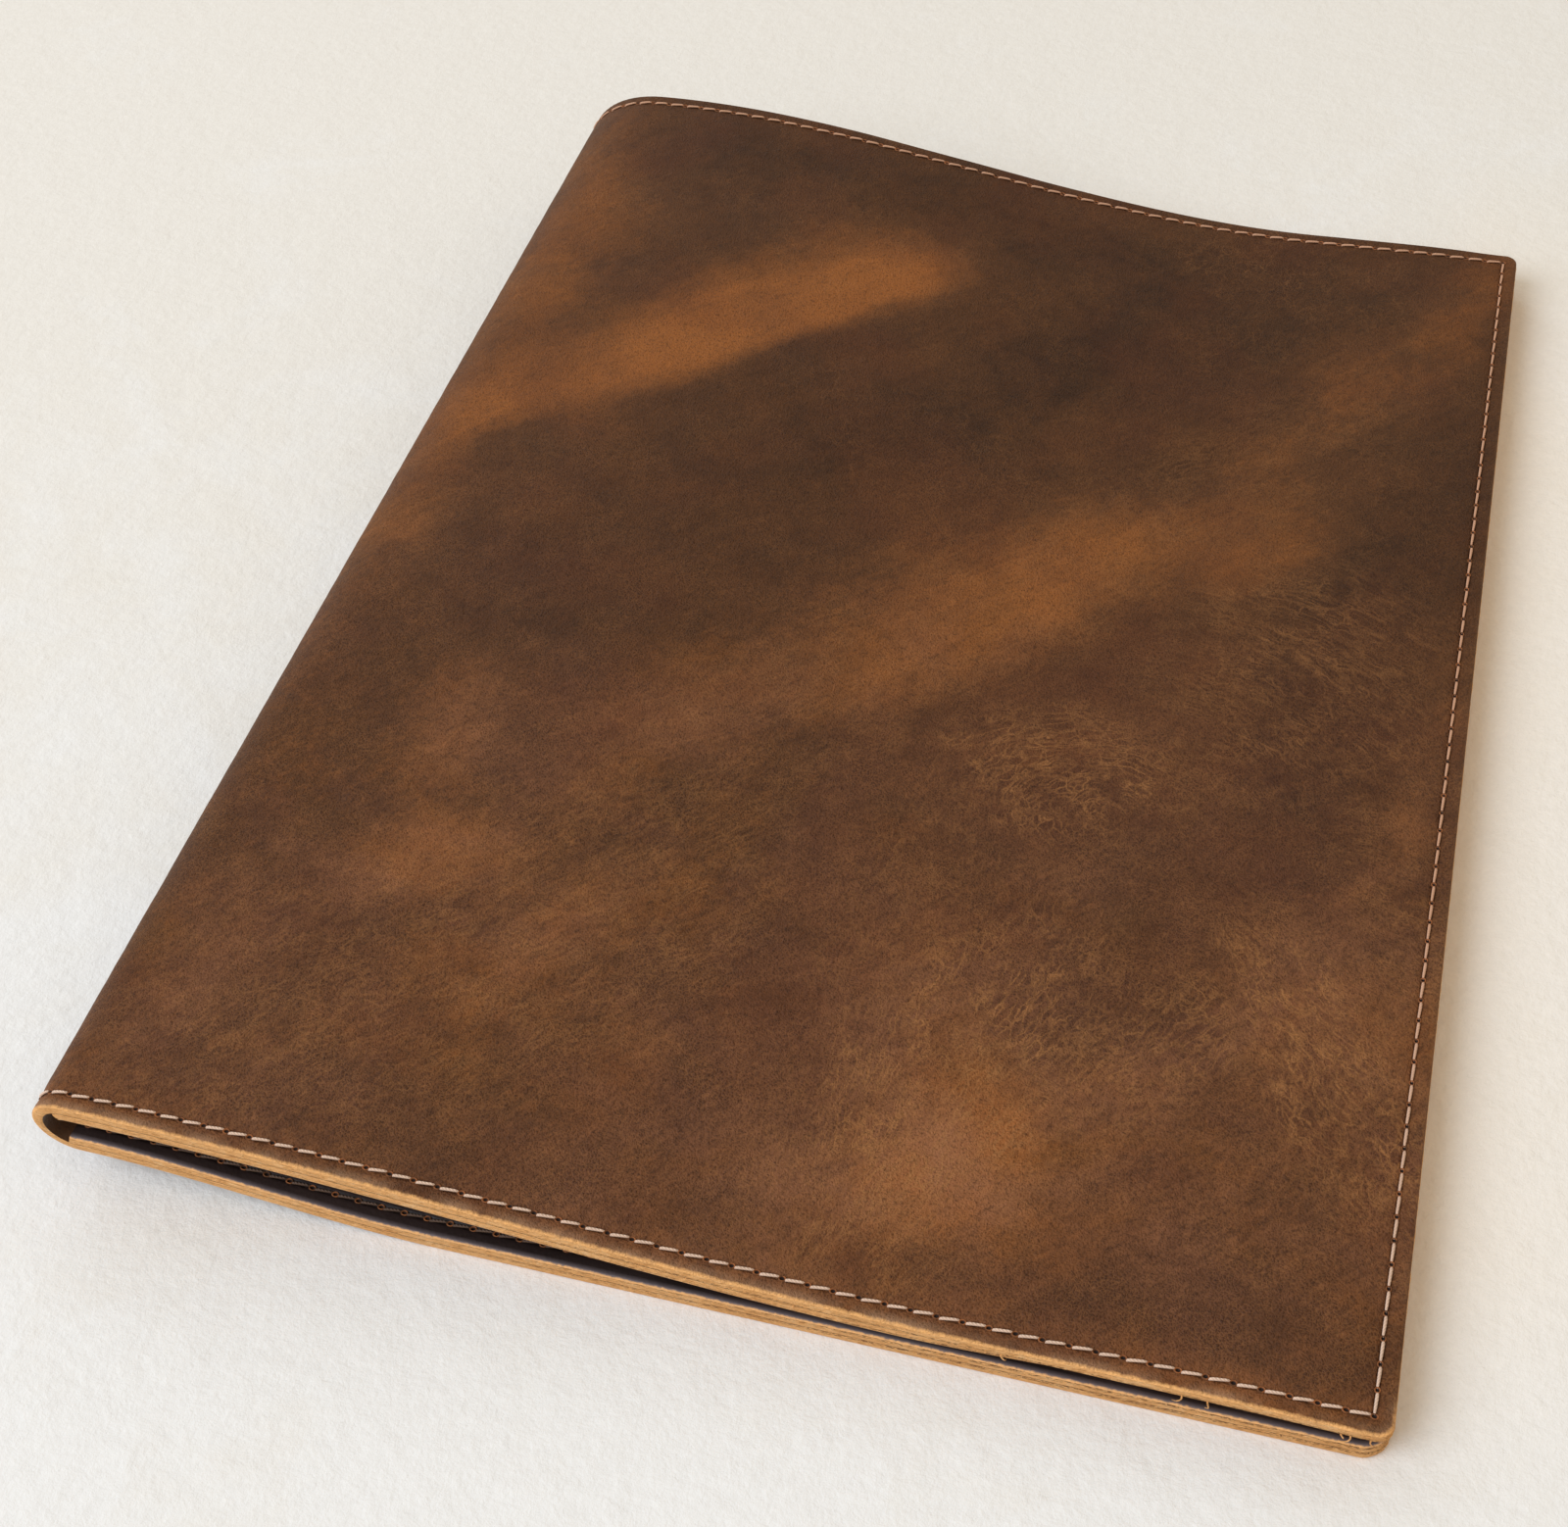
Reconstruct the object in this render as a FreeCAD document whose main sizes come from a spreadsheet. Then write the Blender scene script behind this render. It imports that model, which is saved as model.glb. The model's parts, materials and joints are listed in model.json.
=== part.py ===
import FreeCAD, Part
import math
import os

# A folded leather folio that lies closed and opens into a desk mat. All sizes are in millimetres.
# X runs from the fold (-X) to the free edges (+X), Y runs along the fold, and Z is up.
# The origin is the middle of the closed folio's footprint, on the surface it lies on.

# Driving sizes: alias, value, what it is.
DRIVING_SIZES = [
    ("closed_width", 227.0, "fold to free edge, closed"),
    ("closed_length", 296.0, "along the fold"),
    ("ply_thickness", 2.1, "one thickness of hide"),
    ("ply_gap", 0.1, "glue line between cover and inner panel"),
    ("corner_radius", 3.0, "worn round of the four free corners"),
    ("cover_gap", 1.0, "clear gap between the closed covers at the free edge"),
    ("near_fold_depth", 6.8, "how far the fold bulges sideways, near end"),
    ("near_fold_bottom", 6.6, "underside height where the fold starts, near end"),
    ("near_fold_top", 20.4, "top height where the fold ends, near end"),
    ("near_rise_length", 158.0, "length over which the front cover climbs, near end"),
    ("far_fold_depth", 19.0, "how far the fold bulges sideways, far end"),
    ("far_fold_bottom", 7.0, "underside height where the fold starts, far end"),
    ("far_fold_top", 32.4, "top height where the fold ends, far end"),
    ("far_rise_length", 162.0, "length over which the front cover climbs, far end"),
    ("curl_length", 66.0, "length over which the back cover curls up to the fold"),
    ("panel_share", 0.985, "share of the climb that an inner panel covers"),
    ("crease_angle", 45.0, "where on the fold its two crease lines lie, in degrees"),
    ("crease_gap", 0.5, "clear gap in the hide at a crease line"),
    ("seam_margin", 3.0, "stitch line to leather edge"),
    ("thread_width", 0.6, "sewing thread, across the seam"),
    ("thread_depth", 0.5, "sewing thread, into the leather"),
    ("thread_sink", 0.02, "thread below the leather's surface"),
]


def make_sheet(doc):
    """Puts the driving sizes into a spreadsheet, one alias each."""
    sheet = doc.addObject("Spreadsheet::Sheet", "Sizes")
    for row, (alias, value, meaning) in enumerate(DRIVING_SIZES, start=1):
        sheet.set(f"A{row}", meaning)
        sheet.set(f"B{row}", str(value))
        sheet.setAlias(f"B{row}", alias)
    doc.recompute()
    return sheet


def front_top_height(sizes):
    """Top of the closed folio at its free edge: four plies, two glue lines and the gap."""
    return 4 * sizes.ply_thickness + 2 * sizes.ply_gap + sizes.cover_gap


class Section:
    """The closed folio's cross-section at one place along the fold.

    The outside of the hide runs flat under the back cover, curls up, turns round the fold as half
    an ellipse and comes down over the front cover. The sizes change in a straight line from the
    near end to the far end. A depth is measured from that outside surface into the leather.
    """

    def __init__(self, sizes, y):
        share = y / sizes.closed_length + 0.5

        def between(near, far):
            return near + (far - near) * share

        self.y = y
        self.free_x = sizes.closed_width / 2
        self.fold_depth = between(sizes.near_fold_depth, sizes.far_fold_depth)
        self.bottom = between(sizes.near_fold_bottom, sizes.far_fold_bottom)
        self.top = between(sizes.near_fold_top, sizes.far_fold_top)
        self.front_top = front_top_height(sizes)
        self.fold_x = self.fold_depth - self.free_x
        self.fold_z = (self.bottom + self.top) / 2
        self.curl_x = self.fold_x + sizes.curl_length
        self.rise_x = self.fold_x + between(sizes.near_rise_length, sizes.far_rise_length)

    def point(self, x, z):
        return FreeCAD.Vector(x, self.y, z)

    def climb(self, start_x, start_z, end_z, share):
        """The first share of a smooth climb from flat at start_x to level at the fold."""
        reach = self.fold_x - start_x
        poles = [
            self.point(start_x, start_z),
            self.point(start_x + reach / 3, start_z),
            self.point(start_x + reach * 2 / 3, end_z),
            self.point(self.fold_x, end_z),
        ]
        curve = Part.BezierCurve()
        curve.setPoles(poles)
        if share < 1:
            curve.segment(0, share)
        return curve.toShape()

    def fold_point(self, depth, angle):
        """A point on the fold: angle 0 is its bottom, 180 its top, in degrees."""
        turn = math.radians(angle)
        width = self.fold_depth - depth
        height = (self.top - self.bottom) / 2 - depth
        return self.point(self.fold_x - width * math.sin(turn), self.fold_z - height * math.cos(turn))

    def fold_arc(self, depth, start, end):
        """The stretch of the fold between two angles."""
        spaced = [self.fold_point(depth, start + (end - start) * step / 4) for step in range(5)]
        curve = Part.BSplineCurve()
        curve.interpolate(spaced)
        return curve.toShape()

    def back_climb(self, depth, share, angle):
        """The back cover's curl, up to a share of it or to an angle of the fold."""
        curl = self.climb(self.curl_x, depth, self.bottom + depth, share)
        return [curl] + ([self.fold_arc(depth, 0, angle)] if angle else [])

    def front_climb(self, depth, share, angle):
        """The front cover's climb, up to a share of it or to an angle of the fold."""
        rise = self.climb(self.rise_x, self.front_top - depth, self.top - depth, share)
        return [rise] + ([self.fold_arc(depth, 180, 180 - angle)] if angle else [])

    def with_flat(self, climb):
        """The same edges with the flat stretch from the free edge put before them."""
        start = climb[0].valueAt(climb[0].FirstParameter)
        return [Part.LineSegment(self.point(self.free_x, start.z), start).toShape()] + climb


def ring(outer, inner):
    """A closed wire round the leather between an outer and an inner chain of edges."""

    def ends(edges):
        return edges[0].valueAt(edges[0].FirstParameter), edges[-1].valueAt(edges[-1].LastParameter)

    outer_start, outer_end = ends(outer)
    inner_start, inner_end = ends(inner)
    fold_side = Part.LineSegment(outer_end, inner_end).toShape()
    free_side = Part.LineSegment(inner_start, outer_start).toShape()
    return Part.Wire(outer + [fold_side] + inner[::-1] + [free_side])


def add_band(doc, label, wire_at, y_start, y_end):
    """A solid stretched between one section at y_start and one at y_end."""
    sections = []
    for name, y in (("start", y_start), ("end", y_end)):
        outline = doc.addObject("Part::Feature", f"{label}_{name}_outline")
        outline.Shape = wire_at(y)
        sections.append(outline)
    band = doc.addObject("Part::Loft", label)
    band.Sections = sections
    band.Solid = True
    band.Ruled = True
    return band


def add_flat(doc, label, sizes, underside, start_x_name):
    """The flat part of a cover or panel: a plate from the free edge to where the climb starts.

    underside is the height of its lower face; start_x_name is the section's value that says
    where the flat part ends.
    """
    half = sizes.closed_length / 2
    near, far = Section(sizes, -half), Section(sizes, half)
    corners = [
        FreeCAD.Vector(x, y, underside)
        for x, y in (
            (near.free_x, -half),
            (far.free_x, half),
            (getattr(far, start_x_name), half),
            (getattr(near, start_x_name), -half),
        )
    ]
    outline = doc.addObject("Part::Feature", label + "_outline")
    outline.Shape = Part.Face(Part.makePolygon(corners + corners[:1]))
    plate = doc.addObject("Part::Extrusion", label)
    plate.Base = outline
    plate.DirMode = "Custom"
    plate.Dir = FreeCAD.Vector(0, 0, 1)
    plate.setExpression("LengthFwd", "Sizes.ply_thickness * 1 mm")
    plate.Solid = True
    return plate


def round_free_corners(doc, label, blank, sizes):
    """Rounds the two upright corners of a cover or panel at its free edge."""
    corners = []
    for number, edge in enumerate(blank.Shape.Edges, start=1):
        box = edge.BoundBox
        upright = box.XLength < 0.01 and box.YLength < 0.01
        if upright and abs(box.XMin - sizes.closed_width / 2) < 0.01:
            corners.append((number, sizes.corner_radius, sizes.corner_radius))
    rounded = doc.addObject("Part::Fillet", label)
    rounded.Base = blank
    rounded.Edges = corners
    return rounded


def add_leather(doc, label, sizes, outer_depth, climb_at, underside, start_x_name):
    """One thickness of hide from the near end to the far end: a flat plate and the climb beyond it."""
    inner_depth = outer_depth + sizes.ply_thickness

    def wire_at(y):
        section = Section(sizes, y)
        return ring(climb_at(section, outer_depth), climb_at(section, inner_depth))

    half = sizes.closed_length / 2
    blank = doc.addObject("Part::Fuse", label + "_blank")
    blank.Base = add_flat(doc, label + "_flat", sizes, underside, start_x_name)
    blank.Tool = add_band(doc, label + "_climb", wire_at, -half, half)
    doc.recompute()
    return round_free_corners(doc, label, blank, sizes)


def add_thread(doc, label, sizes, edges_at, depth):
    """The two runs of a seam's thread along the folio's ends, following a path at one depth."""
    seam_y = sizes.closed_length / 2 - sizes.seam_margin
    half_width = sizes.thread_width / 2

    def wire_at(y):
        section = Section(sizes, y)
        section.free_x -= sizes.seam_margin
        outer, inner = (edges_at(section, d) for d in (depth, depth + sizes.thread_depth))
        return ring(outer, inner)

    return [
        add_band(doc, f"{label}_{end}_run", wire_at, middle_y - half_width, middle_y + half_width)
        for end, middle_y in (("near", -seam_y), ("far", seam_y))
    ]


def add_side_run(doc, label, height):
    """The straight run of a seam along the free edge: height is an expression for its underside."""
    corner = "Sizes.seam_margin + Sizes.thread_width"
    bindings = {
        "Length": "Sizes.thread_width",
        "Width": f"Sizes.closed_length - 2 * ({corner})",
        "Height": "Sizes.thread_depth",
        "Placement.Base.x": f"Sizes.closed_width / 2 - ({corner})",
        "Placement.Base.y": f"{corner} - Sizes.closed_length / 2",
        "Placement.Base.z": height,
    }
    run = doc.addObject("Part::Box", label)
    for name, expression in bindings.items():
        run.setExpression(name, f"({expression}) * 1 mm")
    return run


def group(doc, label, parts):
    """Several separate solids as one named sub-part."""
    compound = doc.addObject("Part::Compound", label)
    compound.Links = parts
    return compound


def build(doc, sizes):
    """Makes every sub-part and returns them in order."""
    ply = sizes.ply_thickness
    panel_depth = ply + sizes.ply_gap
    lining_depth = panel_depth + ply
    # The crease gap is an angle on the fold: its size there is set by the tighter, near end.
    fold_radius = (sizes.near_fold_top - sizes.near_fold_bottom) / 2
    gap_angle = math.degrees(sizes.crease_gap / 2 / fold_radius)
    before, after = sizes.crease_angle - gap_angle, sizes.crease_angle + gap_angle

    def back_cover(section, depth):
        return section.back_climb(depth, 1, before)

    def front_cover(section, depth):
        return section.front_climb(depth, 1, before)

    def back_panel(section, depth):
        return section.back_climb(depth, sizes.panel_share, 0)

    def front_panel(section, depth):
        return section.front_climb(depth, sizes.panel_share, 0)

    def across_fold(section, depth):
        return [section.fold_arc(depth, after, 180 - after)]

    def whole(climb_at):
        """The same path with the flat stretch that leads to it."""
        return lambda section, depth: section.with_flat(climb_at(section, depth))

    front_top = front_top_height(sizes)
    subparts = [
        add_leather(doc, "cover_back", sizes, 0, back_cover, 0, "curl_x"),
        add_leather(doc, "cover_front", sizes, 0, front_cover, front_top - ply, "rise_x"),
        add_leather(doc, "inner_panel_back", sizes, panel_depth, back_panel, panel_depth, "curl_x"),
        add_leather(
            doc, "inner_panel_front", sizes, panel_depth, front_panel, front_top - lining_depth, "rise_x"
        ),
    ]

    def wire_across_fold(y):
        section = Section(sizes, y)
        return ring(across_fold(section, 0), across_fold(section, ply))

    half = sizes.closed_length / 2
    subparts.append(add_band(doc, "cover_fold", wire_across_fold, -half, half))

    outside = sizes.thread_sink
    lining = lining_depth - sizes.thread_sink - sizes.thread_depth
    bare = ply - sizes.thread_sink - sizes.thread_depth
    lining_height = "2 * Sizes.ply_thickness + Sizes.ply_gap"
    front_lining_height = f"{lining_height} + Sizes.cover_gap"
    top_height = f"2 * ({lining_height}) + Sizes.cover_gap"
    seams = {
        "thread_outside_back": (back_cover, outside, "Sizes.thread_sink"),
        "thread_inside_back": (
            back_panel,
            lining,
            f"{lining_height} - Sizes.thread_sink - Sizes.thread_depth",
        ),
        "thread_outside_front": (
            front_cover,
            outside,
            f"{top_height} - Sizes.thread_sink - Sizes.thread_depth",
        ),
        "thread_inside_front": (
            front_panel,
            lining,
            f"{front_lining_height} + Sizes.thread_sink",
        ),
    }
    for label, (climb_at, depth, side_height) in seams.items():
        runs = add_thread(doc, label, sizes, whole(climb_at), depth)
        side = add_side_run(doc, label + "_side_run", side_height)
        subparts.append(group(doc, label, runs + [side]))
    for label, depth in (("thread_outside_fold", outside), ("thread_inside_fold", bare)):
        subparts.append(group(doc, label, add_thread(doc, label, sizes, across_fold, depth)))
    return subparts


def check(doc, subparts):
    """Stops if any object failed or any sub-part is not a valid closed shape."""
    for item in doc.Objects:
        if "Invalid" in item.State or "Error" in item.State:
            raise RuntimeError(f"{item.Label} failed: {item.State}")
    for item in subparts:
        if item.Shape.isNull() or not item.Shape.isValid() or not item.Shape.Solids:
            raise RuntimeError(f"{item.Label} has no valid solid")


def main():
    doc = FreeCAD.newDocument("folding_desk_mat")
    sizes = make_sheet(doc)
    subparts = build(doc, sizes)
    doc.recompute()
    check(doc, subparts)
    os.makedirs("parts", exist_ok=True)
    for item in subparts:
        item.Shape.exportStep(f"parts/{item.Label}.step")
        print(item.Label, len(item.Shape.Solids), round(item.Shape.Volume, 2))


main()
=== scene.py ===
"""The looks of a leather desk mat that folds shut like a book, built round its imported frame.

Shapes are worked out in millimetres as whole numpy arrays and written to meshes in metres.
"""

import json
import math
from types import SimpleNamespace

import bmesh
import bpy
import numpy as np
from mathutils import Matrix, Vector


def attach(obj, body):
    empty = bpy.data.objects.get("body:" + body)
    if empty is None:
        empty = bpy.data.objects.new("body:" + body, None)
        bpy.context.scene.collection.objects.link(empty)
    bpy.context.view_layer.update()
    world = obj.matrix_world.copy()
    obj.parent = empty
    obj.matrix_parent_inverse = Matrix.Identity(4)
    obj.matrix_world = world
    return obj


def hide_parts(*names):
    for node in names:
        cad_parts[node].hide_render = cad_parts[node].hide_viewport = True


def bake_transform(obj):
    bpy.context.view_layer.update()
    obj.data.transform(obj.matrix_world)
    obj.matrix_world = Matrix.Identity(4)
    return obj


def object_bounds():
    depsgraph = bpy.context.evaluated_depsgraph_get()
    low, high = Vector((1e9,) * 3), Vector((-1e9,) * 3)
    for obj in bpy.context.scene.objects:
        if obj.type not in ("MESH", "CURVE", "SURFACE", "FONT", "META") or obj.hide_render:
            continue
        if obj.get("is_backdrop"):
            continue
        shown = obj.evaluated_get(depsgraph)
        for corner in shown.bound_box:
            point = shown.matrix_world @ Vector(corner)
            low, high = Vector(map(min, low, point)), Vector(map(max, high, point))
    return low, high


bl_info = {
    "name": "Folding leather desk mat",
    "version": (1, 0, 0),
    "blender": (4, 5, 0),
    "location": "3D View > Sidebar > Desk mat",
    "description": "Builds the covers, panels, stitching and stage of a folded leather desk mat",
    "category": "Object",
}

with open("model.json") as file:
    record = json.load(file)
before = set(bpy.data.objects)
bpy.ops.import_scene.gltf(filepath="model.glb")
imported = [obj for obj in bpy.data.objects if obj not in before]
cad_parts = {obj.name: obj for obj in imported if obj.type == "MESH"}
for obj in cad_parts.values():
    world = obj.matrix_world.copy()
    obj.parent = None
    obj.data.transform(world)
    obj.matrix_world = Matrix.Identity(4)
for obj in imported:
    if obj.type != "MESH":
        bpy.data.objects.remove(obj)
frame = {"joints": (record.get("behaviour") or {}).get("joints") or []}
CAD_LOW, CAD_HIGH = (list(corner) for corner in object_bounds())
MM = 0.001
RNG_SEED = 11
CREASE_OF = {"back": "lower_crease", "front": "upper_crease"}
FLOOR_HALF_M = 2.5
SENSOR_MM = 36.0
SHARP_EDGE = math.radians(55)
ENDS_COLUMNS = 176  # grid lines across the hide between its two edge bands
WALL_ROWS = 7  # rows of points in a cut edge, between its two corners


# ---------------------------------------------------------------- sizes and colours


def length(name, description, default_mm):
    """A length property that the sidebar shows in scene units."""
    return bpy.props.FloatProperty(
        name=name, description=description, default=default_mm * MM, unit="LENGTH", precision=5
    )


def colour(name, description, default):
    """A linear colour property."""
    return bpy.props.FloatVectorProperty(
        name=name, description=description, default=default, subtype="COLOR", size=3, min=0, max=1
    )


class MatSizes(bpy.types.PropertyGroup):
    near_fold_depth: length("Near fold depth", "Sideways bulge of the fold, near end", 6.8)
    near_fold_bottom: length("Near fold bottom", "Underside height at the fold, near end", 6.6)
    near_fold_top: length("Near fold top", "Top height at the fold, near end", 20.4)
    near_rise: length("Near rise", "Length over which the front cover climbs, near end", 158.0)
    far_fold_depth: length("Far fold depth", "Sideways bulge of the fold, far end", 19.0)
    far_fold_bottom: length("Far fold bottom", "Underside height at the fold, far end", 7.0)
    far_fold_top: length("Far fold top", "Top height at the fold, far end", 32.4)
    far_rise: length("Far rise", "Length over which the front cover climbs, far end", 162.0)
    curl: length("Curl", "Length over which the back cover curls up to the fold", 66.0)
    ply: length("Ply", "Thickness of one hide", 2.1)
    glue: length("Glue line", "Space between cover and inner panel", 0.1)
    cover_gap: length("Cover gap", "Clear gap between the closed covers", 1.0)
    corner_radius: length("Corner radius", "Round of the front cover's free corners", 2.6)
    back_corner_radius: length("Back corner radius", "Round of the back cover's free corners", 4.4)
    edge_round: length("Edge round", "Worn round of the grain side's edge", 0.45)
    seam_margin: length("Seam margin", "Stitch line to leather edge", 3.0)
    pitch: length("Stitch pitch", "Hole to hole along the two ends", 4.16)
    side_pitch: length("Side stitch pitch", "Hole to hole along the free edge", 4.26)
    thread: length("Thread", "Thread diameter", 0.5)
    droop: length("Droop", "How far the front cover's free edge sags", 0.8)
    panel_tuck: bpy.props.FloatProperty(
        name="Panel tuck", description="Share of a quarter fold that an inner panel follows", default=0.2
    )


class MatColours(bpy.types.PropertyGroup):
    dark: colour("Dark", "Waxed leather at its darkest", (0.037, 0.0135, 0.0045))
    brown: colour("Brown", "Waxed leather between patches", (0.103, 0.0375, 0.0115))
    tan: colour("Tan", "Waxed leather where it is stretched pale", (0.32, 0.106, 0.023))
    plum: colour("Plum", "Reddish waxed leather at its darkest", (0.046, 0.0165, 0.0090))
    russet: colour("Russet", "Reddish waxed leather between patches", (0.108, 0.0405, 0.0180))
    rose: colour("Rose", "Reddish waxed leather where it is pale", (0.315, 0.126, 0.055))
    raw: colour("Raw edge", "Cut edge of the hide", (0.92, 0.475, 0.175))
    flesh: colour("Flesh side", "Suede inside the fold", (0.11, 0.048, 0.019))
    lining: colour("Lining", "Grain side of the inner panels", (0.022, 0.012, 0.010))
    thread: colour("Thread", "Waxed sewing thread", (0.80, 0.565, 0.43))
    inner_thread: colour("Inner thread", "Sewing thread on the inside", (0.13, 0.075, 0.05))
    floor: colour("Floor", "Pale paper floor", (0.88, 0.865, 0.85))


class MatStage(bpy.types.PropertyGroup):
    camera_place: bpy.props.FloatVectorProperty(
        name="Camera place", description="Camera position", default=(0.08826, -0.2945, 0.31611), unit="LENGTH"
    )
    camera_turn: bpy.props.FloatVectorProperty(
        name="Camera turn", description="Camera rotation", default=(0.725, 0.082, 0.279), subtype="EULER"
    )
    lens: bpy.props.FloatProperty(
        name="Lens", description="Focal length, mm on a 36 mm sensor", default=49.07
    )


GROUPS = {"mat_sizes": MatSizes, "mat_colours": MatColours, "mat_stage": MatStage}


def sizes_in_mm():
    """Every size of the mat in millimetres, with its overall width and length from the frame."""
    group = bpy.context.scene.mat_sizes
    values = {name: getattr(group, name) / MM for name in MatSizes.__annotations__ if name != "panel_tuck"}
    values["panel_tuck"] = group.panel_tuck
    values["half_width"] = (CAD_HIGH[0] - CAD_LOW[0]) / 2 / MM
    values["half_length"] = (CAD_HIGH[1] - CAD_LOW[1]) / 2 / MM
    return SimpleNamespace(**values)


# ---------------------------------------------------------------- noise and tone


def smoothstep(t):
    """An eased step from 0 to 1: t held to that range, then 3t^2 - 2t^3."""
    t = np.clip(t, 0, 1)
    return t * t * (3 - 2 * t)


def soft_noise(x, y, scale, seed):
    """Value noise from -1 to 1: random numbers on a square lattice, eased with 3t^2 - 2t^3 between them."""
    cells, offset = 64, 1000  # the offset keeps every place on the lattice's positive side
    lattice = np.random.default_rng(seed).uniform(-1, 1, (cells, cells))
    u, v = x / scale + offset, y / scale + offset
    i, j = np.floor(u).astype(int), np.floor(v).astype(int)
    s, t = smoothstep(u - i), smoothstep(v - j)

    def corner(a, b):
        return lattice[(i + a) % cells, (j + b) % cells]

    low = corner(0, 0) * (1 - s) + corner(1, 0) * s
    high = corner(0, 1) * (1 - s) + corner(1, 1) * s
    return low * (1 - t) + high * t


def cloudy(x, y, scale, seed):
    """Three octaves of value noise, each half the size and half the strength of the last."""
    return sum(soft_noise(x, y, scale / 2**k, seed + k) / 2**k for k in range(3)) / 1.75


# Places where the front cover's waxed hide has gone pale or stayed dark, and two strips of painted sheen
# along the fold's side. In mm and degrees: centre x, centre y, half length, half width, direction, strength
# (dark is negative), hardness of the side that lies clockwise of the direction (1 is soft).
FRONT_PATCHES = [
    (-43, 79, 46, 17, 47, 0.62, 3.0),
    (-25, 97, 21, 9, 55, 0.36, 2.4),
    (-82, 46, 38, 13, 38, 0.46, 1.8),
    # Painted sheen: this strip and the next, along the fold's side, stand for light caught by the curved
    # fold.
    (-104, 70, 90, 12, 88, 0.30, 1.0),
    (-106, -20, 40, 8, 90, 0.04, 1.0),
    (-62, -84, 16, 10, 30, 0.44, 1.2),
    (-70, -56, 9, 18, 8, 0.22, 1.0),
    (20, 6, 40, 16, 52, 0.28, 1.8),
    (-12, -20, 50, 17, 48, 0.22, 1.0),
    (42, -66, 16, 10, 60, 0.12, 1.0),
    (-28, -88, 30, 12, 40, 0.09, 1.0),
    (48, 28, 40, 18, 34, 0.34, 1.6),
    (78, 78, 34, 11, 55, 0.20, 1.8),
    (80, 94, 18, 12, 120, 0.12, 1.0),
    (103, 130, 32, 11, 74, 0.26, 1.2),
    (70, 34, 26, 8, 8, 0.10, 1.0),
    (-52, -106, 50, 9, 46, 0.18, 1.0),
    (-96, -128, 30, 9, 60, 0.18, 1.0),
    (-96, -96, 26, 7, 60, 0.10, 1.0),
    (34, -104, 32, 15, -62, 0.30, 1.0),
    (44, -112, 12, 8, -40, 0.16, 1.0),
    (34, -128, 24, 9, 6, 0.26, 1.0),
    (6, -126, 50, 24, 0, 0.14, 1.0),
    (98, -74, 22, 15, -35, 0.26, 1.0),
    (108, -110, 22, 8, -70, 0.12, 1.0),
    (62, -96, 46, 5, 42, 0.15, 1.0),
    (40, -24, 26, 4, 18, 0.12, 1.0),
    (104, -38, 16, 5, 62, 0.22, 1.0),
    (108, -4, 30, 6, 88, 0.10, 1.0),
    (86, -18, 30, 16, -78, -0.20, 1.0),
    (47, -38, 14, 9, -20, -0.13, 1.0),
    (64, -64, 22, 12, 30, -0.12, 1.0),
    (90, -116, 20, 16, 10, 0.07, 1.0),
    (62, -104, 16, 12, 0, 0.12, 1.0),
    (-90, 96, 32, 12, 88, 0.17, 1.0),
    (-66, 76, 20, 9, 47, 0.20, 1.6),
    (-76, 34, 18, 11, 40, 0.15, 1.0),
    (-34, 26, 46, 30, 0, 0.07, 1.0),
    (12, 66, 32, 16, 0, 0.11, 1.0),
    (-46, -42, 30, 18, 0, 0.07, 1.0),
    (80, -108, 20, 24, 0, 0.12, 1.0),
    (78, -146, 42, 5, 0, 0.16, 1.0),
    (34, 90, 66, 30, 58, -0.12, 1.0),
    (-4, 60, 64, 14, 48, -0.13, 1.0),
    (-50, 12, 62, 22, 50, -0.07, 1.0),
    (-84, -8, 46, 20, 72, -0.04, 1.0),
    (94, 48, 26, 11, 62, -0.12, 1.0),
    (-30, 130, 70, 12, 0, -0.10, 1.0),
]


def in_oval(x, y, oval):
    """A place in an oval's own coordinates: 1 is its end or its side. The oval starts with its centre
    x and y, half length, half width and direction in degrees.
    """
    centre_x, centre_y, half_length, half_width, direction = oval[:5]
    turn = math.radians(direction)
    dx, dy = x - centre_x, y - centre_y
    u = (dx * math.cos(turn) + dy * math.sin(turn)) / half_length
    v = (dy * math.cos(turn) - dx * math.sin(turn)) / half_width
    return u, v


def pale_patches(x, y):
    """Sum of ovals, exp(-(u^2 + v^2)^1.5), in coordinates bent by cloudy noise.

    Past v = -0.35 the change in v is multiplied by the patch's hardness, so that side ends sharply.
    """
    bent_x = x + 7 * cloudy(x, y, 42, 3) + 1.5 * cloudy(x, y, 9, 13)
    bent_y = y + 7 * cloudy(x, y, 42, 7) + 1.5 * cloudy(x, y, 9, 17)
    total = np.zeros_like(x)
    hard_from = -0.35
    for *oval, strength, hard in FRONT_PATCHES:
        u, v = in_oval(bent_x, bent_y, oval)
        v = np.where(v < hard_from, hard_from + (v - hard_from) * hard, v)
        total = total + strength * np.exp(-((u * u + v * v) ** 1.5))
    return total


def tone_map(x, y, z):
    """How pale the waxed hide is, from 0 (dark) to 1 (tan): a ground, brushed streaks and patches, two of
    which are painted sheen along the fold.

    The underside has its own soft clouds, which give way to the front's tone as the hide rises.
    """
    streaks = cloudy(x * 0.72 + y * 0.69, (y * 0.72 - x * 0.69) * 2.4, 46, 21)
    under = 0.32 + 0.24 * streaks + 0.2 * cloudy(x, y, 30, 5)
    rise = smoothstep((z - 3) / 5)
    ground = 0.238 + 0.10 * smoothstep((40 - y) / 80) + 0.13 * np.exp(-(((y + 147) / 6) ** 2))
    upper = ground + 0.085 * streaks + pale_patches(x, y)
    return np.clip(under + (upper - under) * rise, 0, 1)


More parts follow.
